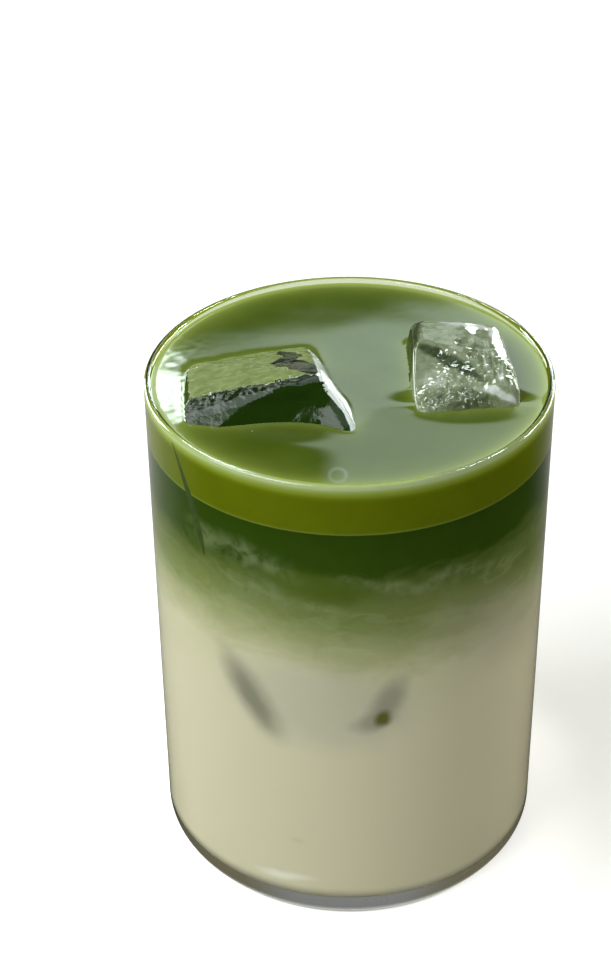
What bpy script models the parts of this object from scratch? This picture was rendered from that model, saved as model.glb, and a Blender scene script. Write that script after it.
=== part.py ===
"""Iced matcha in a straight-sided glass tumbler, modelled in metres with +Z up.

The origin is the centre of the glass's flat foot. Seen from -Y, the drink shows three layers
through the glass: milk at the bottom, dark matcha above it, and a pale green matcha layer under
the brim. Two lumps of ice stand out of the surface, and the upper layers are cut round them.
"""

import math

import bmesh
import bpy
from mathutils import Vector

# Glass
GLASS_HEIGHT = 0.1083
RIM_RADIUS = 0.0400
FOOT_RADIUS = 0.0390  # of the wall, just above the curve into the foot
FOOT_CURVE = 0.0060
RIM_WALL = 0.0015
FOOT_WALL = 0.0019
BASE_THICKNESS = 0.0045
FLOOR_CURVE = 0.0045  # inside, where the wall meets the base

# Drink
GAP = 0.0003  # between pieces that touch
DRINK_LEVEL = 0.1072
PALE_LAYER_BOTTOM = 0.0970
SWIRL_MEAN = 0.0700  # mean height of the boundary between matcha and milk
SWIRL_DIP = 0.0055  # how far the boundary sags at the front
SWIRL_RIPPLE = 0.0016

# Ice
ICE_ROUNDING = 0.0017
ICE_ROUNDING_STEPS = 3
CUTTER_GROWTH = 0.00035  # a little over GAP, as it shrinks where facets meet

# Mesh
SEGMENTS = 72
CURVE_STEPS = 6
LIP_STEPS = 6
LAYER_RINGS = 5
MERGE_DISTANCE = 0.00001

# Corners of each lump in millimetres: the top ones, then the bottom ones, each four running
# front left, front right, back right, back left.
ICE_LUMPS = {
    "ice_left": (
        ((-31.0, -16.0, 110.5), (-5.0, -11.5, 115.5), (-8.3, 12.3, 107.6), (-33.0, 7.0, 106.2)),
        ((-27.0, -23.8, 87.5), (6.0, -26.0, 88.0), (0.0, 4.0, 84.5), (-29.5, -2.0, 83.5)),
    ),
    "ice_right": (
        ((13.2, -10.6, 111.6), (32.6, -8.6, 110.4), (29.2, 13.6, 112.2), (12.4, 14.0, 112.4)),
        ((12.4, -16.0, 90.0), (31.5, -12.0, 89.0), (30.0, 15.0, 90.0), (8.8, 16.4, 91.0)),
    ),
}

COLOURS = {
    "glass": (0.86, 0.92, 0.90),
    "milk": (0.62, 0.59, 0.44),
    "matcha": (0.030, 0.062, 0.006),
    "matcha_pale": (0.150, 0.215, 0.022),
    "ice": (0.72, 0.82, 0.74),
}


def clear_scene():
    """Removes the objects that a new file starts with."""
    for obj in list(bpy.data.objects):
        bpy.data.objects.remove(obj, do_unlink=True)


def new_collection(name):
    """Returns a new collection in the scene."""
    collection = bpy.data.collections.new(name)
    bpy.context.scene.collection.children.link(collection)
    return collection


def new_material(name, roughness, transmission=0.0):
    """Returns a Principled material in the colour listed under its name."""
    material = bpy.data.materials.new(name)
    material.use_nodes = True
    shader = material.node_tree.nodes["Principled BSDF"]
    shader.inputs["Base Color"].default_value = (*COLOURS[name], 1.0)
    shader.inputs["Roughness"].default_value = roughness
    shader.inputs["Metallic"].default_value = 0.0
    shader.inputs["Transmission Weight"].default_value = transmission
    return material


def new_object(name, mesh, collection, material=None):
    """Returns an object with the mesh, in the collection."""
    obj = bpy.data.objects.new(name, mesh)
    collection.objects.link(obj)
    if material:
        mesh.materials.append(material)
    return obj


def arc(centre, radius, start, end, steps):
    """Returns points in the XZ plane along an arc, both ends included, with angles in degrees."""
    points = []
    for step in range(steps + 1):
        angle = math.radians(start + (end - start) * step / steps)
        points.append((centre[0] + radius * math.cos(angle), centre[1] + radius * math.sin(angle)))
    return points


def wall_radius(height, inside=False):
    """Returns the glass wall's outer or inner radius at a height above the foot's curve."""
    share = (height - FOOT_CURVE) / (GLASS_HEIGHT - FOOT_CURVE)
    outer = FOOT_RADIUS + (RIM_RADIUS - FOOT_RADIUS) * share
    wall = FOOT_WALL + (RIM_WALL - FOOT_WALL) * share
    return outer - wall if inside else outer


def turn(name, profile, collection, material):
    """Turns a profile of (radius, height) points, which runs down its outer side, into a solid."""
    mesh = bpy.data.meshes.new(name)
    vertices = [(radius, 0.0, height) for radius, height in profile]
    edges = [(index, index + 1) for index in range(len(profile) - 1)]
    mesh.from_pydata(vertices, edges, [])
    obj = new_object(name, mesh, collection, material)
    screw = obj.modifiers.new("Turn", "SCREW")
    screw.axis = "Z"
    screw.angle = math.tau
    screw.steps = SEGMENTS
    screw.render_steps = SEGMENTS
    screw.use_merge_vertices = True
    screw.merge_threshold = MERGE_DISTANCE
    screw.use_smooth_shade = True
    return obj


def apply_modifiers(obj):
    """Replaces an object's mesh with the one that its modifiers make."""
    graph = bpy.context.evaluated_depsgraph_get()
    mesh = bpy.data.meshes.new_from_object(obj.evaluated_get(graph))
    source = obj.data
    obj.modifiers.clear()
    obj.data = mesh
    bpy.data.meshes.remove(source)
    mesh.name = obj.name


def glass_profile():
    """Returns the tumbler's profile: along the inner base, up inside, over the lip, down outside."""
    lip = RIM_WALL / 2
    lip_centre = (RIM_RADIUS - lip, GLASS_HEIGHT - lip)
    curve_top = BASE_THICKNESS + FLOOR_CURVE
    corner_radius = wall_radius(curve_top, inside=True)
    floor_centre = (corner_radius - FLOOR_CURVE, curve_top)
    points = [(0.0, BASE_THICKNESS)]
    points += arc(floor_centre, FLOOR_CURVE, -90, 0, CURVE_STEPS)
    points += arc(lip_centre, lip, 180, 0, LIP_STEPS)
    points += arc((FOOT_RADIUS - FOOT_CURVE, FOOT_CURVE), FOOT_CURVE, 0, -90, CURVE_STEPS)
    points.append((0.0, 0.0))
    return points


def swirl_shift(x, y):
    """Returns how far the boundary between matcha and milk lies from its mean height."""
    angle = math.atan2(x, -y)  # 0 at the front, which faces -Y
    reach = min(math.hypot(x, y) / RIM_RADIUS, 1.0)
    dip = -SWIRL_DIP * math.cos(angle)
    ripple = SWIRL_RIPPLE * (math.sin(3 * angle + 0.7) + 0.6 * math.sin(5 * angle - 1.1))
    return reach * (dip + ripple)


def flat_rings(height, inwards):
    """Returns profile points across a layer's face, from the axis to the wall or back."""
    edge = wall_radius(height, inside=True) - GAP
    points = [(edge * ring / LAYER_RINGS, height) for ring in range(LAYER_RINGS + 1)]
    return points[::-1] if inwards else points


def add_swirl(obj, height):
    """Bends the face that an object has at a height into the boundary between matcha and milk."""
    for vertex in obj.data.vertices:
        if abs(vertex.co.z - height) < MERGE_DISTANCE:
            vertex.co.z += swirl_shift(vertex.co.x, vertex.co.y)


def make_milk(collection, material):
    """Makes the milk: it fills the glass from its rounded floor up to the swirled boundary."""
    top = SWIRL_MEAN - GAP / 2
    curve = FLOOR_CURVE
    curve_height = BASE_THICKNESS + GAP + curve
    corner_centre = (wall_radius(curve_height, inside=True) - GAP - curve, curve_height)
    profile = flat_rings(top, inwards=False)
    profile += arc(corner_centre, curve, 0, -90, CURVE_STEPS)
    profile.append((0.0, BASE_THICKNESS + GAP))
    obj = turn("milk", profile, collection, material)
    apply_modifiers(obj)
    add_swirl(obj, top)
    return obj


def make_matcha(collection, material):
    """Makes the dark matcha, from the swirled boundary up to the flat pale layer."""
    bottom = SWIRL_MEAN + GAP / 2
    profile = flat_rings(PALE_LAYER_BOTTOM - GAP, inwards=False)
    profile += flat_rings(bottom, inwards=True)
    obj = turn("matcha", profile, collection, material)
    apply_modifiers(obj)
    add_swirl(obj, bottom)
    return obj


def make_pale_layer(collection, material):
    """Makes the pale green layer that lies under the brim."""
    profile = flat_rings(DRINK_LEVEL, inwards=False)
    profile += flat_rings(PALE_LAYER_BOTTOM, inwards=True)
    return turn("matcha_pale", profile, collection, material)


def make_lump(name, corners, collection, material):
    """Makes a lump of ice from a cube whose corners are pulled to the listed places."""
    top, bottom = corners
    mesh = bpy.data.meshes.new(name)
    work = bmesh.new()
    bmesh.ops.create_cube(work, size=2.0)
    for vertex in work.verts:
        front = vertex.co.y < 0
        right = vertex.co.x > 0
        index = (1 if right else 0) if front else (2 if right else 3)
        vertex.co = Vector((top if vertex.co.z > 0 else bottom)[index]) / 1000
    work.to_mesh(mesh)
    work.free()
    obj = new_object(name, mesh, collection, material)
    bevel = obj.modifiers.new("Melted edges", "BEVEL")
    bevel.width = ICE_ROUNDING
    bevel.segments = ICE_ROUNDING_STEPS
    bevel.limit_method = "NONE"
    faces = obj.modifiers.new("Flat facets", "TRIANGULATE")
    faces.quad_method = "BEAUTY"
    apply_modifiers(obj)
    return obj


def make_cutter(lump, collection):
    """Makes a cutter that stands off a lump's faces by a little more than the gap."""
    cutter = new_object(lump.name + "_cutter", lump.data.copy(), collection)
    for vertex in cutter.data.vertices:
        vertex.co += vertex.normal * CUTTER_GROWTH
    cutter.hide_render = True
    cutter.display_type = "WIRE"
    return cutter


def cut_round(obj, cutters):
    """Cuts an object round the cutters."""
    for cutter in cutters:
        boolean = obj.modifiers.new("Cut round " + cutter.name, "BOOLEAN")
        boolean.operation = "DIFFERENCE"
        boolean.solver = "EXACT"
        boolean.object = cutter


def shade(obj):
    """Shades an object smooth, apart from its sharp edges."""
    obj.data.shade_smooth()
    obj.data.set_sharp_from_angle(angle=math.radians(35))


def main():
    """Builds the glass, the drink's layers and the ice."""
    clear_scene()
    parts = new_collection("IcedMatcha")
    guides = new_collection("Cutters")
    ice = new_material("ice", 0.08, transmission=0.9)
    turn("glass", glass_profile(), parts, new_material("glass", 0.03, transmission=1.0))
    make_milk(parts, new_material("milk", 0.30))
    layers = [
        make_matcha(parts, new_material("matcha", 0.25)),
        make_pale_layer(parts, new_material("matcha_pale", 0.15)),
    ]
    cutters = []
    for name, corners in ICE_LUMPS.items():
        lump = make_lump(name, corners, parts, ice)
        cutters.append(make_cutter(lump, guides))
    for layer in layers:
        cut_round(layer, cutters)
    for obj in parts.objects:
        shade(obj)


main()
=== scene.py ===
"""Dresses the packed iced matcha: a clear tumbler, three drink layers and two wet lumps of ice.

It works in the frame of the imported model: +Z up, the origin at the middle of the tumbler's foot,
and -Y the side that faces the camera. The tumbler's, the drink's and the studio's sizes are in
metres. The places of patches, zones, facets and bumps and the numbers in the finishes are in
millimetres. Angles round the wall are in degrees from the front, and grow to the right.
"""

import logging
import math
from collections.abc import Sequence
from dataclasses import dataclass, field
from enum import Enum, IntEnum

import bmesh
import bpy
import numpy as np
from mathutils import Matrix, Vector, noise


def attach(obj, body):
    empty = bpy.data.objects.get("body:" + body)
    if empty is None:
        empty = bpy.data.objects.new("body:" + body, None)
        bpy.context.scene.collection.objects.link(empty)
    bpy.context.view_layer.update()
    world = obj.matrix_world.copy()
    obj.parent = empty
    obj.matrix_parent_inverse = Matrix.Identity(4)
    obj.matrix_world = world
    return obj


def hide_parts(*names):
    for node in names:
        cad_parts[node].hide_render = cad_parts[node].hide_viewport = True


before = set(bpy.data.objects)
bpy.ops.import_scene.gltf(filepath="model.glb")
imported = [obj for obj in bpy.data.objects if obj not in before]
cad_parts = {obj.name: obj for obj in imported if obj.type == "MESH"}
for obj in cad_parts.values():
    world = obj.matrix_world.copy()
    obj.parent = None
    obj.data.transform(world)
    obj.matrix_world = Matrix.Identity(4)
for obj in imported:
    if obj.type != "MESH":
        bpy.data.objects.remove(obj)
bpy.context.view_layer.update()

LOG = logging.getLogger("iced_matcha")
MM = 0.001
BODY = "root"
WALL_DEGREE = 0.668  # millimetres along the drink's wall
SAME_PLACE = 1e-7  # metres
NEAR_ZERO = 1e-18  # keeps a division finite
SHARP_ANGLE = 50.0  # degrees
GLASS_IOR = 1.5
WATER_IOR = 1.333
ICE_IOR = 1.31
MATTE = {"Roughness": 0.6, "Specular_IOR_Level": 0.0}  # for what lies against glass or ice

Piece = bpy.types.Object
Socket = bpy.types.NodeSocket
Colour = tuple[float, float, float]
Point = tuple[float, float, float]
Place = tuple[float, float]
Span = tuple[float, float]  # where a value leaves 0, and where it reaches 1
Stop = tuple[float, Colour]

BLACK: Colour = (0.0, 0.0, 0.0)
WHITE: Colour = (1.0, 1.0, 1.0)


class Slot(Enum):
    """The material slots."""

    GLASS = "glass"
    MILK = "milk"
    MATCHA = "matcha"
    PALE = "matcha_pale"
    ICE = "ice"


class Ray(Enum):
    """The outputs of the Light Path node that the studio and the glass tell apart."""

    CAMERA = "Is Camera Ray"
    SHADOW = "Is Shadow Ray"
    DIFFUSE = "Is Diffuse Ray"
    GLOSSY = "Is Glossy Ray"
    TRANSMITTED = "Is Transmission Ray"
    INNER = "Transmission Depth"


class Region(IntEnum):
    """The places of a two-part piece's finishes: its clear or open part, and its skin or wall."""

    PLAIN = 0
    COATED = 1


def smoothstep(low: float, high: float, value: np.ndarray) -> np.ndarray:
    """Eases from 0 to 1 between two limits.

    Args:
        low: Where the result leaves 0.
        high: Where the result reaches 1.
        value: The values to ease.

    Returns:
        The eased values.
    """
    share = np.clip((value - low) / (high - low), 0.0, 1.0)
    return share * share * (3.0 - 2.0 * share)


def arc(centre: Place, radius: float, start: float, end: float, steps: int) -> list:
    """Places points along an arc in the profile plane.

    Args:
        centre: The arc's centre, as radius and height.
        radius: The arc's own radius.
        start: The first point's angle in degrees.
        end: The last point's angle in degrees.
        steps: The number of steps between them.

    Returns:
        The points, as (radius, height).
    """
    angles = [math.radians(start + (end - start) * step / steps) for step in range(steps + 1)]
    return [(centre[0] + radius * math.cos(a), centre[1] + radius * math.sin(a)) for a in angles]


def new_object(name: str, data: bpy.types.ID) -> Piece:
    """Makes an object from its data and links it to the scene.

    Args:
        name: The object's name.
        data: Its mesh, lamp or camera.

    Returns:
        The object.
    """
    made = bpy.data.objects.new(name, data)
    bpy.context.scene.collection.objects.link(made)
    return made


def mesh_object(name: str, vertices: list, faces: list) -> Piece:
    """Makes an object from vertices and faces, shaded smooth.

    Args:
        name: The object's name.
        vertices: The vertices' coordinates.
        faces: The faces' vertex numbers.

    Returns:
        The object, linked to the scene.
    """
    mesh = bpy.data.meshes.new(name)
    mesh.from_pydata([tuple(v) for v in vertices], [], faces)
    mesh.validate()
    mesh.shade_smooth()
    mesh.set_sharp_from_angle(angle=math.radians(SHARP_ANGLE))
    return new_object(name, mesh)


def turned(profile: list, segments: int) -> tuple[list, list]:
    """Turns a profile round the Z axis.

    Args:
        profile: Points (radius, height) that run down the outer side; a radius of 0 is a pole.
        segments: The number of steps round.

    Returns:
        The vertices and the faces, with the faces pointing out.
    """
    vertices: list = []
    rings: list = []
    for radius, height in profile:
        if not radius:
            rings.append([len(vertices)])
            vertices.append((0.0, 0.0, height))
            continue
        rings.append(list(range(len(vertices), len(vertices) + segments)))
        for step in range(segments):
            angle = math.tau * step / segments
            vertices.append((radius * math.cos(angle), radius * math.sin(angle), height))
    faces: list = []
    for upper, lower in zip(rings, rings[1:]):
        for step in range(segments):
            after = (step + 1) % segments
            if len(upper) == 1 and len(lower) > 1:
                faces.append((upper[0], lower[step], lower[after]))
            elif len(lower) == 1 and len(upper) > 1:
                faces.append((upper[step], lower[0], upper[after]))
            elif len(lower) > 1:
                faces.append((upper[step], lower[step], lower[after], upper[after]))
    return vertices, faces


def apply_modifiers(piece: Piece) -> None:
    """Replaces a piece's mesh with the one that its modifiers make.

    Args:
        piece: The piece.
    """
    graph = bpy.context.evaluated_depsgraph_get()
    mesh = bpy.data.meshes.new_from_object(piece.evaluated_get(graph))
    piece.modifiers.clear()
    piece.data = mesh
    mesh.name = piece.name


def coordinates(piece: Piece) -> np.ndarray:
    """Reads the coordinates of a piece's vertices, one row each.

    Args:
        piece: The piece.

    Returns:
        The coordinates.
    """
    values = np.empty(len(piece.data.vertices) * 3)
    piece.data.vertices.foreach_get("co", values)
    return values.reshape(-1, 3)


def normals(piece: Piece) -> np.ndarray:
    """Reads the normals of a piece's vertices, one row each.

    Args:
        piece: The piece.

    Returns:
        The unit normals.
    """
    values = np.empty(len(piece.data.vertices) * 3)
    piece.data.vertex_normals.foreach_get("vector", values)
    return values.reshape(-1, 3)


def move_vertices(piece: Piece, places: np.ndarray) -> None:
    """Moves a piece's vertices to new places."""
    piece.data.vertices.foreach_set("co", places.ravel())
    piece.data.update()


def mark(piece: Piece, **values: np.ndarray) -> None:
    """Stores a value between 0 and 1 on each of a piece's vertices, under each name.

    Args:
        piece: The piece.
        values: The values by name, one for each vertex.
    """
    for name, value in values.items():
        attribute = piece.data.attributes.new(name, "FLOAT", "POINT")
        attribute.data.foreach_set("value", np.clip(value, 0.0, 1.0))


def noise_at(places: np.ndarray, size: float, seed: float) -> np.ndarray:
    """Samples smooth noise between about -1 and 1.

    Args:
        places: The points, one row each.
        size: The width of one lump of the noise.
        seed: A number that shifts the pattern.

    Returns:
        One value for each point.
    """
    shift = Vector((seed, seed * 1.7, -seed))
    return np.array([noise.noise(Vector(place) / size + shift) for place in places.tolist()])


def dressed(piece: Piece, slot: Slot, *nodes: str) -> Piece:
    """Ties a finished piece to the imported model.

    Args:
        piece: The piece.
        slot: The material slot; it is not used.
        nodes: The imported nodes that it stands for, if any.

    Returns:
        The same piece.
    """
    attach(piece, BODY)
    if nodes:
        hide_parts(*nodes)
    LOG.info("%s: %d faces", piece.name, len(piece.data.polygons))
    return piece


class Sheet:
    """A node tree with short calls for the nodes that the finishes use."""

    def __init__(self, tree: bpy.types.NodeTree) -> None:
        """Starts writing in a node tree."""
        self.tree = tree

    def feed(self, socket: Socket, value: object) -> None:
        """Links a socket to another, or sets its value; None leaves it as it is.

        Args:
            socket: The input.
            value: A socket, a number, a tuple or None.
        """
        if isinstance(value, Socket):
            self.tree.links.new(value, socket)
        elif value is not None:
            if socket.type == "RGBA" and len(value) == 3:
                value = (*value, 1.0)
            socket.default_value = value

    def put(self, node: bpy.types.Node, **values: object) -> bpy.types.Node:
        """Feeds a node's inputs by name, with underscores for spaces.

        Args:
            node: The node.
            values: What its inputs get.

        Returns:
            The same node.
        """
        for name, value in values.items():
            self.feed(node.inputs[name.replace("_", " ")], value)
        return node

    def through(self, node: bpy.types.Node, *values: object) -> Socket:
        """Feeds a node's inputs in their order.

        Args:
            node: The node.
            values: What its inputs get.

        Returns:
            Its first output.
        """
        for socket, value in zip(node.inputs, values):
            self.feed(socket, value)
        return node.outputs[0]

    def add(self, kind: str, settings: dict | None = None, **values: object) -> bpy.types.Node:
        """Adds a node.

        Args:
            kind: The node's type name.
            settings: Its properties.
            values: Its inputs, with underscores for spaces; each is a number, a tuple or a socket.

        Returns:
            The node.
        """
        node = self.tree.nodes.new(kind)
        for name, value in (settings or {}).items():
            setattr(node, name, value)
        return self.put(node, **values)

    def math(self, operation: str, *values: object, clamp: bool = False) -> Socket:
        """Adds a Math node and returns its result."""
        node = self.add("ShaderNodeMath", {"operation": operation, "use_clamp": clamp})
        return self.through(node, *values)

    def product(self, value: object, factor: object) -> Socket:
        """Returns a value times a factor."""
        return self.math("MULTIPLY", value, factor)

    def product_plus(self, value: object, factor: object, more: object,
                     clamp: bool = False) -> Socket:
        """Returns a value times a factor, plus more."""
        return self.math("MULTIPLY_ADD", value, factor, more, clamp=clamp)

    def less(self, value: object, taken: object, clamp: bool = False) -> Socket:
        """Returns a value less what is taken from it."""
        return self.math("SUBTRACT", value, taken, clamp=clamp)

    def vector(self, operation: str, *values: object) -> Socket:
        """Adds a Vector Math node.

        Args:
            operation: The node's operation.
            values: Its vectors, with the factor last for SCALE.

        Returns:
            Its vector.
        """
        node = self.add("ShaderNodeVectorMath", {"operation": operation})
        if operation == "SCALE":
            values = (values[0], None, None, values[1])
        return self.through(node, *values)

    def length(self, x: Socket, y: Socket) -> Socket:
        """Returns the length of a vector with two parts."""
        return self.math("SQRT", self.product_plus(x, x, self.product(y, y)))

    def millimetres(self) -> Socket:
        """Returns the point's place on the object, in millimetres."""
        place = self.add("ShaderNodeTexCoord").outputs["Object"]
        return self.vector("SCALE", place, 1.0 / MM)

    def split(self, vector: Socket) -> list[Socket]:
        """Returns a vector's three parts."""
        return list(self.add("ShaderNodeSeparateXYZ", Vector=vector).outputs)

    def noise(self, place: Socket, size: object, detail: float = 2.0,
              roughness: float = 0.5, distortion: float = 0.0) -> Socket:
        """Adds noise.

        Args:
            place: The coordinates, in millimetres.
            size: The width of its largest lumps, in millimetres.
            detail: The number of finer layers.
            roughness: How strong the finer layers are.
            distortion: How much the pattern is twisted.

        Returns:
            Its value, from 0 to 1.
        """
        return self.add("ShaderNodeTexNoise", Vector=place, Scale=self.math("DIVIDE", 1.0, size),
                        Detail=detail, Roughness=roughness, Distortion=distortion).outputs[0]

    def ease(self, value: object, low: object, high: object) -> Socket:
        """Eases a value from 0 at low to 1 at high."""
        node = self.add("ShaderNodeMapRange", {"interpolation_type": "SMOOTHSTEP"})
        return self.through(node, value, low, high, 0.0, 1.0)

    def ramp(self, share: Socket, stops: Sequence[Stop]) -> Socket:
        """Colours a value by stops.

        Args:
            share: The value, from 0 to 1.
            stops: The places from 0 to 1, in rising order, and their colours.

        Returns:
            The colour.
        """
        node = self.add("ShaderNodeValToRGB", Fac=share)
        ramp = node.color_ramp
        while len(ramp.elements) < len(stops):
            ramp.elements.new(0.5)
        for element, (place, colour) in zip(ramp.elements, stops):
            element.position = place
            element.color = (*colour, 1.0)
        return node.outputs[0]

    def mix(self, share: object, first: object, second: object) -> Socket:
        """Mixes two colours.

        Args:
            share: How much of the second there is, from 0 to 1.
            first: The first colour.
            second: The second colour.

        Returns:
            The colour.
        """
        node = self.add("ShaderNodeMix", {"data_type": "RGBA"})
        self.feed(node.inputs[0], share)
        self.feed(node.inputs[6], first)
        self.feed(node.inputs[7], second)
        return node.outputs[2]

    def group(self, tree: bpy.types.NodeTree, **values: object) -> Socket:
        """Places a node group and returns its first output."""
        return self.add("ShaderNodeGroup", {"node_tree": tree}, **values).outputs[0]

    def attribute(self, name: str) -> Socket:
        """Returns the value of a mesh attribute."""
        return self.add("ShaderNodeAttribute", {"attribute_name": name}).outputs["Fac"]

    def ray(self, kind: Ray) -> Socket:
        """Returns 1 for one kind of ray."""
        return self.add("ShaderNodeLightPath").outputs[kind.value]

    def mirrored(self) -> Socket:
        """Returns 1 for rays off an outer surface, which have been through no glass or ice."""
        outer = self.less(1.0, self.ray(Ray.INNER), clamp=True)
        return self.product(self.ray(Ray.GLOSSY), outer)

    def window(self, value: object, low: float, high: float, soft: float) -> Socket:
        """Returns 1 between two limits and 0 outside, with soft ends."""
        return self.product(self.ease(value, low - soft, low + soft),
                            self.ease(value, high + soft, high - soft))


class Coat(Sheet):
    """The node tree of a new material, with its Principled shader and its output."""

    def __init__(self, name: str) -> None:
        """Makes the material.

        Args:
            name: The material's name.
        """
        self.material = bpy.data.materials.new(name)
        self.material.use_nodes = True
        super().__init__(self.material.node_tree)
        self.shader = self.tree.nodes["Principled BSDF"]

    def paint(self, **values: object) -> bpy.types.Material:
        """Feeds the Principled shader's inputs, and returns the material."""
        self.put(self.shader, **values)
        return self.material

    def cover(self, share: Socket, other: bpy.types.Node) -> None:
        """Mixes another shader over the Principled one.

        Args:
            share: How much of the other shader there is, from 0 to 1.
            other: The other shader.
        """
        mixed = self.through(self.add("ShaderNodeMixShader"), share, self.shader.outputs[0],
                             other.outputs[0])
        self.put(self.tree.nodes["Material Output"], Surface=mixed)


def new_group(name: str, inputs: dict[str, float], outputs: dict[str, str]) -> tuple:
    """Starts a shader node group.

    Args:
        name: The group's name.
        inputs: Its number inputs and their defaults.
        outputs: Its outputs and their socket types.

    Returns:
        The tree, its sheet, the input sockets by name and the output node.
    """
    tree = bpy.data.node_groups.new(name, "ShaderNodeTree")
    for label, value in inputs.items():
        socket = tree.interface.new_socket(label, in_out="INPUT", socket_type="NodeSocketFloat")
        socket.default_value = value
    for label, kind in outputs.items():
        tree.interface.new_socket(label, in_out="OUTPUT", socket_type=kind)
    sheet = Sheet(tree)
    given = sheet.add("NodeGroupInput")
    result = sheet.add("NodeGroupOutput")
    return tree, sheet, {label: given.outputs[label] for label in inputs}, result


class Effects:
    """The shader node groups that several finishes share."""

    def __init__(self) -> None:
        """Builds each group once."""
        self.cloud = self._cloud()
        self.relief = self._relief()
        self.swirl = self._swirl()

    def wet_normal(self, sheet: Sheet, depth: float, dents: float, ripples: float,
                   share: float) -> Socket:
        """Bends a wet surface's normal.

        Args:
            sheet: The material's nodes.
            depth: How deep the relief is, in millimetres.
            dents: The width of its dents, in millimetres.
            ripples: The width of its ripples, in millimetres.
            share: How strong the ripples are beside the dents.

        Returns:
            The normal.
        """
        height = sheet.group(self.relief, Dent_size=dents, Ripple_size=ripples, Ripple_share=share)
        return sheet.add("ShaderNodeBump", Strength=1.0, Distance=depth * MM,
                         Height=height).outputs[0]

    def _cloud(self) -> bpy.types.NodeTree:
        """Builds soft clouds of uneven density.

        Returns:
            The group.
        """
        tree, sheet, given, result = new_group(
            "Cloud", {"Size": 8.0, "Flatness": 1.0, "Contrast": 0.3, "Seed": 0.0},
            {"Cloud": "NodeSocketFloat"})
        stretch = sheet.add("ShaderNodeCombineXYZ", X=1.0, Y=1.0, Z=given["Flatness"]).outputs[0]
        place = sheet.vector("MULTIPLY", sheet.millimetres(), stretch)
        place = sheet.vector("ADD", place, given["Seed"])
        value = sheet.noise(place, given["Size"], 3.0, 0.55, 0.6)
        low = sheet.less(0.5, given["Contrast"])
        high = sheet.math("ADD", 0.5, given["Contrast"])
        sheet.put(result, Cloud=sheet.ease(value, low, high))
        return tree

    def _relief(self) -> bpy.types.NodeTree:
        """Builds the height of a wet surface: slow dents with fine ripples on them.

        Returns:
            The group.
        """
        tree, sheet, given, result = new_group(
            "Wet relief", {"Dent size": 3.0, "Ripple size": 0.7, "Ripple share": 0.3},
            {"Height": "NodeSocketFloat"})
        place = sheet.millimetres()
        dents = sheet.noise(place, given["Dent size"], 2.0, 0.5)
        ripples = sheet.noise(place, given["Ripple size"], 2.0, 0.6)
        sheet.put(result, Height=sheet.product_plus(ripples, given["Ripple share"], dents))
        return tree

    def _swirl(self) -> bpy.types.NodeTree:
        """Builds the height above the foot, in millimetres, bent by slow swirls.

        Returns:
            The group.
        """
        tree, sheet, given, result = new_group(
            "Swirled height", {"Swirl": 5.0, "Curl": 2.0, "Seed": 0.0},
            {"Height": "NodeSocketFloat"})
        place = sheet.vector("ADD", sheet.millimetres(), given["Seed"])
        flat = sheet.vector("MULTIPLY", place, (1.0, 1.0, 1.9))
        height = sheet.split(sheet.millimetres())[2]
        for name, eddy in (("Swirl", sheet.noise(flat, 26.0, 1.0, 0.5, 0.9)),
                           ("Curl", sheet.noise(flat, 9.0, 4.0, 0.62, 1.6))):
            height = sheet.product_plus(sheet.less(eddy, 0.5), given[name], height)
        sheet.put(result, Height=height)
        return tree


@dataclass(frozen=True)
class ClearFinish:
    """Glass or ice: it bends light, and lets lamps shine through to what it holds."""

    name: str
    tint: Colour
    ior: float
    relief: float
    dent_size: float
    ripple_size: float
    ripple_share: float
    clearness: float = 1.0

    def make(self, effects: Effects) -> bpy.types.Material:
        """Makes the material.

        Args:
            effects: The shared node groups.

        Returns:
            The material.
        """
        coat = Coat(self.name)
        light = coat.math("MAXIMUM", coat.ray(Ray.SHADOW), coat.ray(Ray.DIFFUSE))
        coat.cover(light, coat.add("ShaderNodeBsdfTransparent", Color=self.tint))
        return coat.paint(
            Base_Color=self.tint, Roughness=0.0, IOR=self.ior, Transmission_Weight=self.clearness,
            Normal=effects.wet_normal(coat, self.relief, self.dent_size, self.ripple_size,
                                      self.ripple_share))


@dataclass(frozen=True)
class SurfaceFinish:
    """The drink's open surface: smooth wet tea, with a painted glow at its edges and a painted
    sheen ring at one bubble.
    """

    name: str
    deep: Colour
    # the colour of the painted glow at the tea's edge
    shore: Colour
    # the colour of the painted sheen round the bubble
    foam: Colour
    roughness: float
    bubble: Place = (-2.05, -34.4)
    bubble_reach: tuple[float, float] = (1.7, 2.6)

    def make(self, effects: Effects) -> bpy.types.Material:
        """Makes the material.

        Args:
            effects: The shared node groups.

        Returns:
            The material.
        """
        coat = Coat(self.name)
        cloud = coat.group(effects.cloud, Size=9.0, Flatness=1.0, Contrast=0.3, Seed=4.0)
        # painted light: the tea is lighter near the glass and the ice
        near = coat.product_plus(cloud, 0.06, coat.attribute("shore"), clamp=True)
        colour = coat.mix(near, self.deep, self.shore)
        speckle = coat.noise(coat.millimetres(), 1.2, 3.0)
        return coat.paint(
            # painted reflection: a ring of sheen round the bubble
            Base_Color=coat.mix(self._bubble(coat), colour, self.foam), IOR=WATER_IOR,
            Roughness=coat.product_plus(speckle, 0.01, self.roughness),
            Normal=effects.wet_normal(coat, 0.003, 7.0, 1.6, 0.12))

    def _bubble(self, sheet: Sheet) -> Socket:
        """Draws a faint ring round a bubble near the front, painted as the sheen that the bubble's
        rim reflects.

        Args:
            sheet: The material's nodes.

        Returns:
            The ring's mask.
        """
        across, along = (
            sheet.product(sheet.less(value, middle), 1.0 / reach)
            for value, middle, reach in zip(sheet.split(sheet.millimetres()), self.bubble,
                                            self.bubble_reach))
        return sheet.product(sheet.window(sheet.length(across, along), 0.72, 1.05, 0.2), 0.5)


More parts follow.
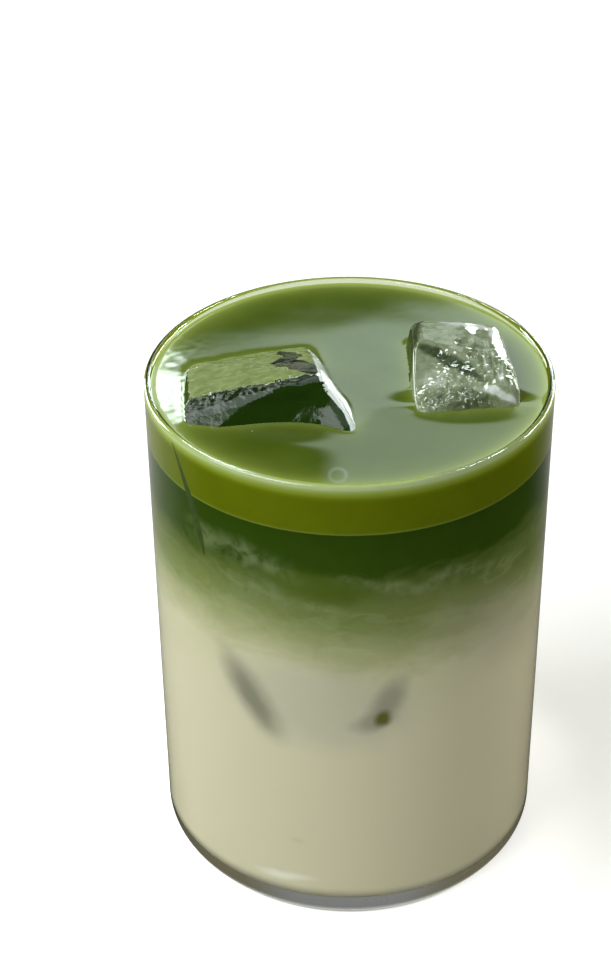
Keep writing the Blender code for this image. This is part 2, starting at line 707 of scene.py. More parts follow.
@dataclass(frozen=True)
class PaleWallFinish:
    """The pale layer where it lies against the glass; its brim's stops, a painted glow just under
    the lip, run down from the top.
    """

    name: str
    body: Colour
    # stops of a painted glow just under the lip
    brim: tuple[Stop, ...]
    hem: Colour
    top: float
    bottom: float
    brim_height: float = 3.4
    hem_height: float = 0.7
    clouded: float = 0.86

    def make(self, effects: Effects) -> bpy.types.Material:
        """Makes the material.

        Args:
            effects: The shared node groups.

        Returns:
            The material.
        """
        coat = Coat(self.name)
        height = coat.split(coat.millimetres())[2]
        cloud = coat.group(effects.cloud, Size=11.0, Flatness=0.5, Contrast=0.35, Seed=9.0)
        darker = tuple(channel * self.clouded for channel in self.body)
        # painted light: the brim's glow, lightest at the top, fades into the body colour
        under = coat.math("DIVIDE", coat.less(self.top, height), self.brim_height, clamp=True)
        colour = coat.mix(coat.ease(under, 1.0, 0.45), coat.mix(cloud, self.body, darker),
                          coat.ramp(under, [*self.brim, (1.0, self.body)]))
        hem = coat.ease(height, self.bottom + self.hem_height, self.bottom)
        return coat.paint(Base_Color=coat.mix(hem, colour, self.hem), **MATTE)


@dataclass(frozen=True)
class Shade:
    """A soft patch on the drink's wall, such as sunk ice in the milk, a curl of milk in the tea, a
    patch of painted shade or a painted highlight.

    It is an ellipse: its middle is an angle and a height, its half sizes are in millimetres along
    the wall, and its turn in degrees lifts its right end.
    """

    angle: float
    height: float
    half_length: float
    half_width: float
    turn: float
    softness: float
    colour: Colour
    strength: float

    def mask(self, sheet: Sheet, along: Socket, height: Socket) -> Socket:
        """Draws the patch.

        Args:
            sheet: The material's nodes.
            along: The distance round the wall from the front, in millimetres.
            height: The height, in millimetres.

        Returns:
            The mask, from 0 to its strength.
        """
        cosine, sine = math.cos(math.radians(self.turn)), math.sin(math.radians(self.turn))
        across = sheet.less(along, self.angle * WALL_DEGREE)
        up = sheet.less(height, self.height)
        length = sheet.product_plus(across, cosine / self.half_length,
                                    sheet.product(up, sine / self.half_length))
        width = sheet.product_plus(up, cosine / self.half_width,
                                   sheet.product(across, -sine / self.half_width))
        mask = sheet.ease(sheet.length(length, width), 1.0 + self.softness, 1.0 - self.softness)
        return sheet.product(mask, self.strength)


@dataclass(frozen=True)
class LatteFinish:
    """The drink's wall from the milk up into the dark tea, with its clouded boundary.

    The stops run from the low height to the high one, and the lifts say how far the boundary
    stands higher at each angle. The corner colour is painted shade, darker towards the foot, and
    some shades are painted shade or a painted highlight. Heights are in millimetres.
    """

    name: str
    stops: tuple[Stop, ...]
    lifts: tuple[tuple[float, float], ...]
    shades: tuple[Shade, ...]
    curls: tuple[Shade, ...]
    low: float = 48.0
    high: float = 98.0
    lifted: Span = (88.0, 77.0)
    smoke: Span = (0.30, 0.68)
    curl_reach: float = 3.6
    shade_reach: float = 1.6
    wisp: Colour = (0.30, 0.36, 0.20)
    wisps_start: Span = (72.0, 78.0)
    wisps_end: Span = (90.0, 83.0)
    # painted shade: the milk darker in its rounded bottom corner
    corner: Colour = (0.24, 0.225, 0.165)
    corner_heights: Span = (8.6, 4.8)

    def make(self, effects: Effects) -> bpy.types.Material:
        """Makes the material.

        Args:
            effects: The shared node groups.

        Returns:
            The material.
        """
        coat = Coat(self.name)
        place = coat.millimetres()
        x, y, z = coat.split(place)
        angle = coat.math("DEGREES", coat.math("ARCTAN2", x, coat.product(y, -1.0)))
        lift = coat.product(self._lift(coat, angle), coat.ease(z, *self.lifted))
        swirled = coat.group(effects.swirl, Swirl=9.0, Curl=6.0, Seed=3.0)
        level = coat.less(coat.less(swirled, lift), self.low)
        share = coat.math("DIVIDE", level, self.high - self.low, clamp=True)
        colour = coat.mix(self._wisps(coat, effects, z), coat.ramp(share, self.stops), self.wisp)
        along = coat.product(angle, WALL_DEGREE)
        smoke = coat.ease(coat.noise(place, 4.2, 3.0, 0.55, 1.0), *self.smoke)
        for patches, reach, veil in ((self.curls, self.curl_reach, smoke),
                                     (self.shades, self.shade_reach, 1.0)):
            warped = [self._warped(coat, place, value, seed, reach)
                      for value, seed in ((along, 0.0), (z, 51.0))]
            for patch in patches:
                mask = coat.product(patch.mask(coat, *warped), veil)
                colour = coat.mix(mask, colour, patch.colour)
        # painted shade: darker towards the bottom corner
        colour = coat.mix(coat.ease(z, *self.corner_heights), colour, self.corner)
        return coat.paint(Base_Color=colour, **MATTE)

    def _lift(self, sheet: Sheet, angle: Socket) -> Socket:
        """Reads the lifts.

        Args:
            sheet: The material's nodes.
            angle: The angle round the wall, in degrees.

        Returns:
            How far the boundary is lifted there, in millimetres.
        """
        most = max(lift for _, lift in self.lifts)
        turn = sheet.product_plus(angle, 1.0 / 360.0, 0.5)
        stops = [(place / 360.0 + 0.5, (lift / most,) * 3) for place, lift in self.lifts]
        level = sheet.add("ShaderNodeRGBToBW", Color=sheet.ramp(turn, stops)).outputs[0]
        return sheet.product(level, most)

    def _warped(self, sheet: Sheet, place: Socket, value: Socket,
                seed: float, reach: float) -> Socket:
        """Bends a distance on the wall by slow and quick eddies.

        Args:
            sheet: The material's nodes.
            place: The point, in millimetres.
            value: The distance, along the wall or up it.
            seed: A number that shifts the eddies.
            reach: How strongly they bend it, in millimetres.

        Returns:
            The bent distance.
        """
        shifted = sheet.vector("ADD", place, (seed, seed, seed))
        slow = sheet.noise(shifted, 7.5, 1.0, 0.5)
        quick = sheet.noise(shifted, 2.6, 3.0, 0.6)
        eddy = sheet.less(sheet.product_plus(quick, 0.5, slow), 0.75)
        return sheet.product_plus(eddy, reach, value)

    def _wisps(self, sheet: Sheet, effects: Effects, z: Socket) -> Socket:
        """Draws thin curls of milk in the tea, just above the boundary.

        Args:
            sheet: The material's nodes.
            effects: The shared node groups.
            z: The height, in millimetres.

        Returns:
            The curls' mask.
        """
        swirled = sheet.group(effects.swirl, Swirl=14.0, Curl=9.0, Seed=41.0)
        thin = sheet.ease(sheet.math("PINGPONG", swirled, 4.0), 2.7, 4.0)
        zone = sheet.product(sheet.ease(z, *self.wisps_start), sheet.ease(z, *self.wisps_end))
        patches = sheet.group(effects.cloud, Size=14.0, Flatness=1.6, Contrast=0.12, Seed=17.0)
        return sheet.product(sheet.product(thin, zone), sheet.product(patches, 0.15))


@dataclass(frozen=True)
class PocketFinish:
    """The drink where it lies round the ice, seen through the ice."""

    name: str
    deep: Colour
    near: Colour
    heights: Span

    def make(self, effects: Effects) -> bpy.types.Material:
        """Makes the material.

        Args:
            effects: The shared node groups.

        Returns:
            The material.
        """
        coat = Coat(self.name)
        height = coat.group(effects.swirl, Swirl=4.0, Curl=3.0, Seed=7.0)
        colour = coat.mix(coat.ease(height, *self.heights), self.deep, self.near)
        return coat.paint(Base_Color=colour, **MATTE)


@dataclass(frozen=True)
class SkinFinish:
    """The wet skin of the left lump: tea film, a dark crinkled ridge with painted glints and a grey
    rim of painted reflection, and a white painted highlight.
    """

    name: str
    film: Colour
    film_light: Colour
    dark: Colour
    # painted highlight: the lighter colour of the glints on the ridge's folds
    glint: Colour
    # painted reflection: the grey of the sky mirrored in the bevel's lower band
    rim: Colour
    face: Colour
    flank: Colour
    # painted highlight: the white streak along the right side
    frost: Colour

    def make(self, effects: Effects) -> bpy.types.Material:
        """Makes the material.

        Args:
            effects: The shared node groups.

        Returns:
            The material.
        """
        coat = Coat(self.name)
        place = coat.millimetres()
        fine = coat.noise(place, 1.3, 4.0, 0.62, 1.4)
        folds = coat.noise(coat.vector("MULTIPLY", place, (0.22, 1.5, 1.5)), 1.0, 3.0, 0.6, 1.2)
        cloud = coat.group(effects.cloud, Size=3.4, Flatness=2.0, Contrast=0.22, Seed=2.0)
        film = coat.mix(cloud, self.film, self.film_light)
        # painted glints on the folds of the ridge
        colour = coat.mix(coat.ease(folds, 0.50, 0.66), self.dark, self.glint)
        # painted reflection: the grey band low on the bevel
        for name, layer, ragged in (("band", self.rim, 0.5), ("wet", film, 0.4),
                                    ("face", self.face, 0.2), ("flank", self.flank, 0.3),
                                    # painted highlight: the white streak
                                    ("frost", self.frost, 0.6)):
            edge = coat.product_plus(coat.less(fine, 0.5), ragged, coat.attribute(name))
            colour = coat.mix(coat.ease(edge, 0.36, 0.62), colour, layer)
        coat.cover(coat.add("ShaderNodeNewGeometry").outputs["Backfacing"],
                   coat.add("ShaderNodeBsdfDiffuse", Color=self.face))
        return coat.paint(Base_Color=colour, IOR=WATER_IOR,
                          Roughness=coat.product_plus(fine, 0.14, 0.05),
                          Normal=effects.wet_normal(coat, 0.14, 2.4, 0.8, 0.4))


@dataclass(frozen=True)
class TonedIceFinish:
    """Half clear ice with darker and paler zones in it, which its mesh's attributes place, and
    painted white glints in its crackled zone.
    """

    name: str
    stops: tuple[Stop, ...]
    clearness: float
    uneven: float = 0.55
    stripe_depth: float = 2.2

    def make(self, effects: Effects) -> bpy.types.Material:
        """Makes the material.

        Args:
            effects: The shared node groups.

        Returns:
            The material.
        """
        coat = Coat(self.name)
        place = coat.millimetres()
        fine = coat.noise(place, 1.5, 4.0, 0.6, 0.8)
        stripes = coat.noise(coat.vector("MULTIPLY", place, (1.0, 0.18, 0.5)), 1.2, 2.0, 0.6, 0.3)
        # painted highlight: small white glints
        specks = coat.ease(coat.noise(place, 0.75, 2.0, 0.6, 1.0), 0.60, 0.68)
        tone = coat.product_plus(coat.less(fine, 0.5), self.uneven, coat.attribute("tone"))
        stripes = coat.product(coat.less(stripes, 0.5), coat.attribute("striped"))
        tone = coat.product_plus(stripes, self.stripe_depth, tone)
        # painted glints, only in the crackled zone
        tone = coat.product_plus(specks, coat.attribute("crackled"), tone, clamp=True)
        return coat.paint(Base_Color=coat.ramp(tone, self.stops), Roughness=0.04, IOR=ICE_IOR,
                          Transmission_Weight=self.clearness,
                          Normal=effects.wet_normal(coat, 0.06, 2.6, 0.8, 0.3))


@dataclass(frozen=True)
class EdgeFinish:
    """The uneven dark tea along the ice that presses against the glass."""

    dark: Colour = (0.018, 0.035, 0.004)
    light: Colour = (0.05, 0.075, 0.02)

    def make(self) -> bpy.types.Material:
        """Makes the material.

        Returns:
            The material.
        """
        coat = Coat("Ice edge")
        colour = coat.mix(coat.noise(coat.millimetres(), 1.5, 2.0), self.dark, self.light)
        return coat.paint(Base_Color=colour, Roughness=0.5, Specular_IOR_Level=0.0)


@dataclass(frozen=True)
class FloorFinish:
    """The pale floor, with painted light: a painted shadow under the foot, as a glow that shows
    through the base; painted light round the foot; a painted glow that only mirrors see, dim in
    front; painted shade where it is seen through glass.

    Its spans are distances from the glass's axis in millimetres, across it where they say so.
    """

    pale: Colour = (0.92, 0.92, 0.91)
    # painted shade: the floor darker and greener where it is seen through glass
    through_glass: Colour = (0.56, 0.60, 0.43)
    # painted shadow under the foot, as a dim glow seen through the base
    under_front: Colour = (0.21, 0.215, 0.205)
    under_sides: Colour = (0.150, 0.140, 0.088)
    under_middle: Colour = (0.13, 0.125, 0.10)
    # colour of the painted glow that only mirrors see
    mirrored: Colour = (1.0, 0.97, 0.90)
    # where the painted shadow under the foot begins
    foot: Span = (36.3, 35.3)
    sides_across: Span = (8.0, 20.0)
    middle: Span = (15.0, 11.0)
    # painted light: where the floor is brighter round the foot
    bright: Span = (60.0, 38.0)
    glowing: Span = (39.5, 37.5)
    behind_across: Span = (0.0, 200.0)

    def make(self) -> bpy.types.Material:
        """Makes the material.

        Returns:
            The material.
        """
        coat = Coat("Pale floor")
        x, y, _ = coat.split(coat.millimetres())
        from_middle = coat.length(x, y)
        foot = coat.ease(from_middle, *self.foot)
        # painted shade: darker and greener for rays that come through glass
        pale = coat.mix(coat.ray(Ray.TRANSMITTED), self.pale, self.through_glass)
        # painted shadow: the dim glow under the foot, which differs across it
        under = coat.mix(coat.ease(coat.math("ABSOLUTE", x), *self.sides_across),
                         self.under_front, self.under_sides)
        under = coat.mix(coat.ease(from_middle, *self.middle), under, self.under_middle)
        # painted light: the floor glows brighter round the foot, for the camera only
        lit = coat.product_plus(coat.ease(from_middle, *self.bright), 0.30, 0.14)
        lit = coat.product_plus(coat.ray(Ray.CAMERA), lit, 0.05)
        behind = coat.ease(coat.product_plus(x, -0.25, y), *self.behind_across)
        # painted reflection: a glow that only mirrors see, near the foot and behind
        glow = coat.product_plus(behind, 0.50, 0.01)
        glow = coat.product_plus(coat.ease(from_middle, *self.glowing), 0.9, glow)
        coat.cover(coat.mirrored(),
                   coat.add("ShaderNodeEmission", Color=self.mirrored, Strength=glow))
        # emission: painted light round the foot, and the painted shadow under it
        return coat.paint(Base_Color=coat.mix(foot, pale, BLACK), Roughness=0.9,
                          Specular_IOR_Level=0.0, Emission_Color=coat.mix(foot, lit, under),
                          Emission_Strength=1.0)


@dataclass
class Tumbler:
    """The clear glass: a slightly tapered wall, a rounded lip and a thick, rounded foot."""

    height: float = 108.3 * MM
    rim_radius: float = 40.0 * MM
    foot_radius: float = 39.0 * MM
    foot_curve: float = 6.0 * MM
    rim_wall: float = 1.5 * MM
    foot_wall: float = 1.9 * MM
    base: float = 4.5 * MM
    floor_curve: float = 4.5 * MM
    segments: int = 256
    curve_steps: int = 14
    rings: tuple[float, ...] = (0.3, 0.5, 0.7, 0.9)  # shares of the height

    def radius(self, height: float, inside: bool = False) -> float:
        """Measures the wall.

        Args:
            height: A height above the foot's curve.
            inside: Whether to measure its inner face.

        Returns:
            The radius there.
        """
        share = (height - self.foot_curve) / (self.height - self.foot_curve)
        outer = self.foot_radius + (self.rim_radius - self.foot_radius) * share
        wall = self.foot_wall + (self.rim_wall - self.foot_wall) * share
        return outer - wall if inside else outer

    def floor_corner(self, reach: float = 0.0) -> tuple[tuple[float, float], float]:
        """Places the curve between the inner wall and the base.

        Args:
            reach: How far it is moved into the glass.

        Returns:
            Its centre, as radius and height, and its radius.
        """
        top = self.base + self.floor_curve
        centre = (self.radius(top, inside=True) - self.floor_curve, top)
        return centre, self.floor_curve + reach

    def profile(self) -> list:
        """Draws the section: over the base, up inside, round the lip, down outside.

        Returns:
            The points, as (radius, height).
        """
        lip = self.rim_wall / 2
        centre, curve = self.floor_corner()
        points = [(0.0, self.base), (centre[0] / 2, self.base)]
        points += arc(centre, curve, -90, 0, self.curve_steps)
        points += [(self.radius(share * self.height, inside=True), share * self.height)
                   for share in self.rings]
        points += arc((self.rim_radius - lip, self.height - lip), lip, 180, 0, self.curve_steps)
        points += [(self.radius(share * self.height), share * self.height)
                   for share in reversed(self.rings)]
        points += arc((self.foot_radius - self.foot_curve, self.foot_curve), self.foot_curve,
                      0, -90, self.curve_steps)
        points += [(self.foot_radius / 2, 0.0), (0.0, 0.0)]
        return points

    def build(self, effects: Effects) -> Piece:
        """Builds the glass.

        Args:
            effects: The shared node groups.

        Returns:
            The piece.
        """
        piece = mesh_object("tumbler", *turned(self.profile(), self.segments))
        finish = ClearFinish("Tumbler glass", (0.97, 0.985, 0.98), GLASS_IOR, 0.010, 24.0, 6.0, 0.1)
        piece.data.materials.append(finish.make(effects))
        return dressed(piece, Slot.GLASS, "glass")


@dataclass(frozen=True)
class Facet:
    """A flat place that is planed on a lump of ice."""

    point: Point
    normal: Point

    def direction(self) -> np.ndarray:
        """Returns the facet's unit normal."""
        return np.array(Vector(self.normal).normalized())

    def off(self, places: np.ndarray) -> np.ndarray:
        """Returns how far each point stands off the facet's plane, in metres."""
        return (places - np.array(self.point) * MM) @ self.direction()

    def cut(self, places: np.ndarray) -> np.ndarray:
        """Presses the points that stand proud of the facet's plane down to it.

        Args:
            places: The points, one row each.

        Returns:
            The moved points.
        """
        proud = np.maximum(self.off(places), 0.0)
        return places - proud[:, None] * self.direction()


@dataclass(frozen=True)
class Bump:
    """A round dent, swelling or rough patch on a lump, in millimetres."""

    place: Point
    radius: float
    height: float = 0.0
    grain: float = 0.0
    grain_size: float = 1.5
    fade: Span = (0.45, 1.3)  # where it begins to fade and where it is gone, in radii
    coarse: float = 1.6
    finer: float = 0.6
    finer_size: float = 0.45

    def relief(self, places: np.ndarray, seed: float) -> np.ndarray:
        """Measures how far the points are moved outwards.

        Args:
            places: The points, one row each.
            seed: The lump's own seed.

        Returns:
            The distances.
        """
        away = np.linalg.norm(places - np.array(self.place) * MM, axis=1) / (self.radius * MM)
        share = 1.0 - smoothstep(*self.fade, away)
        rough = 0.0
        if self.grain:
            fine = noise_at(places, self.grain_size * MM, seed + 31.0)
            finer = noise_at(places, self.grain_size * self.finer_size * MM, seed + 47.0)
            rough = self.grain * (np.abs(fine) * self.coarse + self.finer * finer)
        return share * (self.height + rough) * MM


@dataclass(frozen=True)
class Zone:
    """An oval zone on a lump, seen from above, in millimetres and degrees."""

    place: Place
    half_length: float
    half_width: float
    turn: float
    # a tone of 1 is the white of a painted highlight
    tone: float = 0.0
    soft: float = 0.35

    def share(self, places: np.ndarray) -> np.ndarray:
        """Tells how surely each point lies in the zone.

        Args:
            places: The points, one row each.

        Returns:
            A value from 0 to 1 for each point.
        """
        cosine, sine = math.cos(math.radians(self.turn)), math.sin(math.radians(self.turn))
        x, y = places[:, 0] / MM - self.place[0], places[:, 1] / MM - self.place[1]
        reach = np.hypot((x * cosine + y * sine) / self.half_length,
                         (y * cosine - x * sine) / self.half_width)
        return smoothstep(1.0 + self.soft, 1.0 - self.soft, reach)


@dataclass
class IceLump:
    """A lump of wet, half melted ice that stands out of the drink."""

    node: str
    seed: float
    voxel: float = 0.33 * MM
    swelling: float = 0.15 * MM
    dents: float = 0.25 * MM
    dent_size: float = 7.0 * MM
    pits: float = 0.05 * MM
    pit_size: float = 1.8 * MM
    foot: float = 1.4
    foot_depth: float = 8.0
    foot_heights: Span = (106.5, 111.0)
    facets: tuple[Facet, ...] = ()
    bumps: tuple[Bump, ...] = ()
    piece: Piece | None = field(default=None, init=False)

    def build(self, materials: list[bpy.types.Material]) -> Piece:
        """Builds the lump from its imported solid: finer, planed and melted uneven.

        Args:
            materials: The finishes of its regions.

        Returns:
            The piece.
        """
        piece = new_object(self.node + "_melted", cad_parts[self.node].data.copy())
        piece.data.materials.clear()
        remesh = piece.modifiers.new("Fine skin", "REMESH")
        remesh.mode = "VOXEL"
        remesh.voxel_size = self.voxel
        remesh.use_smooth_shade = True
        apply_modifiers(piece)
        places = self._shaped(coordinates(piece))
        for facet in self.facets:
            places = facet.cut(places)
        move_vertices(piece, places)
        facing = normals(piece)
        relief = self.swelling + self.dents * noise_at(places, self.dent_size, self.seed)
        relief += self.pits * noise_at(places, self.pit_size, self.seed + 5.0)
        for bump in self.bumps:
            relief += bump.relief(places, self.seed)
        relief += self._film(places, facing)
        move_vertices(piece, places + relief[:, None] * facing)
        for material in materials:
            piece.data.materials.append(material)
        self._assign(piece)
        piece.data.shade_smooth()
        self.piece = piece
        return dressed(piece, Slot.ICE, self.node)

    def _shaped(self, places: np.ndarray) -> np.ndarray:
        """Draws the lump's front out towards the waterline.

        Args:
            places: The points, one row each.

        Returns:
            The moved points.
        """
        _, y, z = (places / MM).T
        front = smoothstep(0.0, 1.0, (np.median(y) - y) / self.foot_depth)
        share = front * (1.0 - smoothstep(*self.foot_heights, z))
        moved = places.copy()
        moved[:, 1] -= share * self.foot * MM
        return moved

    def _film(self, places: np.ndarray, facing: np.ndarray) -> np.ndarray:
        """Returns the thickness of the tea that clings to the lump; a plain lump has none."""
        return np.zeros(len(places))

    def _assign(self, piece: Piece) -> None:
        """Gives the faces their finishes; a plain lump has only one."""

    def _strayed(self, places: np.ndarray, size: float, strays: tuple[tuple[float, float], ...]
                 ) -> np.ndarray:
        """Moves points sideways by noise, so that the edge of what holds them is ragged.

        Args:
            places: The points, one row each.
            size: The width of one lump of the noise, in millimetres.
            strays: How far they stray in millimetres, and the noise's seed, for x and for y.

        Returns:
            The moved points.
        """
        moved = places.copy()
        for axis, (reach, seed) in enumerate(strays):
            moved[:, axis] += reach * MM * noise_at(places, size * MM, self.seed + seed)
        return moved

    def shrunk(self, inset: float) -> Piece:
        """Makes a copy that lies a little inside the ice, which cuts its pocket in the drink.

        Args:
            inset: How far inside it lies.

        Returns:
            The copy.
        """
        copy = new_object(self.node + "_pocket", self.piece.data.copy())
        move_vertices(copy, coordinates(copy) - inset * normals(copy))
        return copy

    def outline(self, height: float) -> np.ndarray:
        """Finds where the lump crosses a level.

        Args:
            height: The level.

        Returns:
            The outline's pieces, each a row with two points in the plane.
        """
        work = bmesh.new()
        work.from_mesh(self.piece.data)
        cut = bmesh.ops.bisect_plane(work, geom=[*work.verts, *work.edges, *work.faces],
                                     plane_co=(0.0, 0.0, height), plane_no=(0.0, 0.0, 1.0))
        lines = [[*edge.verts[0].co.xy, *edge.verts[1].co.xy] for edge in cut["geom_cut"]
                 if isinstance(edge, bmesh.types.BMEdge)]
        work.free()
        return np.array(lines)


@dataclass
class SplitLump(IceLump):
    """The left lump: a clear front, a bevelled ridge, a back that tea has run over, a white painted
    highlight.
    """

    ridge: Facet = Facet((-30.8, -16.4, 107.3), (-0.14, -0.61, 0.78))
    up_ridge: Point = (-0.243, 0.786, 0.571)
    # how wide the band of painted reflection on the bevel is, in millimetres
    dull_width: float = 1.7
    top: Point = (-0.166, 0.231, 0.959)
    film: float = 0.12 * MM
    skirt: float = 2.6
    skirt_heights: Span = (98.0, 103.0)
    skirt_fades: Span = (106.8, 114.5)
    skirt_front: Span = (-11.0, -14.5)
    skirt_corner: float = -1.5
    skirt_reach: float = 3.6
    flank: Facet = Facet((-5.0, -11.5, 115.5), (0.941, 0.217, 0.262))
    flare: tuple[float, float] = (1.7, 0.13)
    flare_most: float = 3.9
    flare_across: Span = (-13.0, -4.0)
    skin_bottom: float = 105.5 * MM
    bare: tuple[Zone, ...] = (Zone((-11.7, 4.4), 4.6, 1.7, -66.0),
                              Zone((-9.6, -4.4), 8.4, 2.7, -58.0))
    wet_facing: Span = (0.76, 0.90)
    wet_off_ridge: Span = (0.97, 0.90)
    wet_strays: tuple[tuple[float, float], ...] = ((1.3, 60.0), (0.9, 69.0))
    ragged_size: float = 2.2
    film_wave: float = 1.1
    film_wave_size: float = 1.6 * MM
    bevel_facing: Span = (0.78, 0.88)
    bevel_off_plane: Span = (1.3, 0.7)
    bevel_rise: Span = (-0.3, 0.3)
    band_soft: float = 0.35
    face_facing: Span = (0.88, 0.80)
    face_rise: Span = (0.2, -0.6)
    flank_off_plane: Span = (-0.2, 0.5)
    flank_facing: Span = (0.5, 0.7)
    # where the white painted highlight lies: off the flank's plane, by facing and by height
    frost_off_plane: Span = (0.8, 1.7)
    frost_from: Span = (0.22, 0.42)
    frost_to: Span = (0.95, 0.80)
    frost_heights: Span = (107.8, 108.6)
    skin_up: float = 0.66
    skin_right: float = 0.52
    skin_off_plane: float = -0.3

    def _shaped(self, places: np.ndarray) -> np.ndarray:
        """Draws the front corner and the right side out at the waterline, and bevels the ridge.

        Args:
            places: The points, one row each.

        Returns:
            The moved points.
        """
        moved = super()._shaped(places)
        x, y, z = (places / MM).T
        low = (1.0 - smoothstep(*self.skirt_fades, z)) * smoothstep(*self.skirt_heights, z)
        corner = np.exp(-((x - self.skirt_corner) / self.skirt_reach) ** 2)
        moved[:, 1] -= self.skirt * MM * low * corner * smoothstep(*self.skirt_front, y)
        flare = np.clip(self.flare[0] - self.flare[1] * y, 0.0, self.flare_most)
        moved[:, 0] += flare * MM * low * smoothstep(*self.flare_across, x + 0.25 * y)
        return self.ridge.cut(moved)

    def _wet(self, places: np.ndarray, facing: np.ndarray) -> np.ndarray:
        """Tells how surely each point lies under the tea film.

        Args:
            places: The points, one row each.
            facing: Their normals.

        Returns:
            A value from 0 to 1 for each point.
        """
        ragged = self._strayed(places, self.ragged_size, self.wet_strays)
        beyond = 1.0 - np.maximum.reduce([zone.share(ragged) for zone in self.bare])
        top = smoothstep(*self.wet_facing, facing @ np.array(self.top))
        off_ridge = smoothstep(*self.wet_off_ridge, facing @ self.ridge.direction())
        return top * off_ridge * beyond

    def _film(self, places: np.ndarray, facing: np.ndarray) -> np.ndarray:
        """Returns the thickness of the tea film, with its crinkles."""
        waves = noise_at(places, self.film_wave_size, self.seed + 80.0)
        return self._wet(places, facing) * self.film * (1.0 + self.film_wave * waves)

    def _assign(self, piece: Piece) -> None:
        """Marks the zones of the skin, and gives it the faces that look up or right.

        Args:
            piece: The piece.
        """
        places, facing = coordinates(piece), normals(piece)
        ragged = noise_at(places, self.ragged_size * MM, self.seed + 90.0)
        rise = (places / MM - np.array(self.ridge.point)) @ np.array(self.up_ridge) + 0.5 * ragged
        bevel = smoothstep(*self.bevel_facing, facing @ self.ridge.direction())
        bevel *= smoothstep(*self.bevel_off_plane, np.abs(self.ridge.off(places) / MM))
        bevel *= smoothstep(*self.bevel_rise, rise)
        front = np.maximum(smoothstep(*self.face_facing, facing[:, 2]),
                           smoothstep(*self.face_rise, rise))
        out = self.flank.off(places) / MM
        flank = smoothstep(*self.flank_off_plane, out)
        flank *= smoothstep(*self.flank_facing, facing[:, 0])
        # painted highlight: the white streak where the skin turns to the right
        edge = smoothstep(*self.frost_from, facing[:, 0])
        edge *= smoothstep(*self.frost_to, facing[:, 0])
        edge *= smoothstep(*self.frost_heights, places[:, 2] / MM)
        # painted reflection: the band low on the bevel where the sky is mirrored
        dull = smoothstep(self.dull_width + self.band_soft, self.dull_width - self.band_soft, rise)
        # The marks place the white painted highlight and the grey painted reflection on the bevel.
        mark(piece, wet=self._wet(places, facing), flank=flank, band=bevel * dull,
             face=front * (1.0 - flank) * (1.0 - bevel),
             frost=np.maximum(smoothstep(*self.frost_off_plane, out + 0.4 * ragged), edge))
        centres = np.array([face.center[:] for face in piece.data.polygons])
        right, _, up = np.array([face.normal[:] for face in piece.data.polygons]).T
        on_flank = self.flank.off(centres) / MM > self.skin_off_plane
        skin = (up > self.skin_up) | on_flank & (right > self.skin_right)
        skin &= centres[:, 2] > self.skin_bottom
        piece.data.polygons.foreach_set(
            "material_index", np.where(skin, Region.COATED, Region.PLAIN).astype(np.int32))


@dataclass
class TonedLump(IceLump):
    """The right lump, with dark and pale zones, white zones of painted highlight, a striped side
    and a crackled front with painted glints.
    """

    tone: float = 0.62
    zones: tuple[Zone, ...] = ()
    striped: Zone = Zone((27.5, -0.5), 8.0, 2.6, 108.0)
    # the crackled zone, where the painted glints lie
    crackled: Zone = Zone((20.8, -11.0), 6.5, 2.6, -4.0)

    def _assign(self, piece: Piece) -> None:
        """Marks the zones' tones, painted highlights among them.

        Args:
            piece: The piece.
        """
        wavy = self._strayed(coordinates(piece), 2.6, ((0.8, 61.0), (0.8, 77.0)))
        tone = np.full(len(wavy), self.tone)
        for zone in self.zones:
            tone += (zone.tone - tone) * zone.share(wavy)
        mark(piece, tone=tone, striped=self.striped.share(wavy),
             crackled=self.crackled.share(wavy))


def distances(lines: np.ndarray, places: np.ndarray) -> np.ndarray:
    """Measures, in the plane, how far points lie from the nearest line.

    Args:
        lines: Rows with the two ends of each line.
        places: The points, one row each.

    Returns:
        One distance for each point.
    """
    nearest = np.full(len(places), np.inf)
    for line in lines:
        start, end = line[:2], line[2:]
        along = end - start
        share = (places[:, :2] - start) @ along / max(along @ along, NEAR_ZERO)
        offset = places[:, :2] - start - np.clip(share, 0.0, 1.0)[:, None] * along
        nearest = np.minimum(nearest, np.hypot(*offset.T))
    return nearest


@dataclass(frozen=True)
class Swell:
    """A slow oval swelling of the tea in front of a lump, in millimetres."""

    place: Place
    half_length: float
    half_width: float
    height: float

    def rise(self, places: np.ndarray) -> np.ndarray:
        """Tells how far it lifts each point.

        Args:
            places: The points, one row each.

        Returns:
            The heights, in metres.
        """
        across = (places[:, 0] / MM - self.place[0]) / self.half_length
        along = (places[:, 1] / MM - self.place[1]) / self.half_width
        return self.height * MM * np.exp(-across ** 2 - along ** 2)


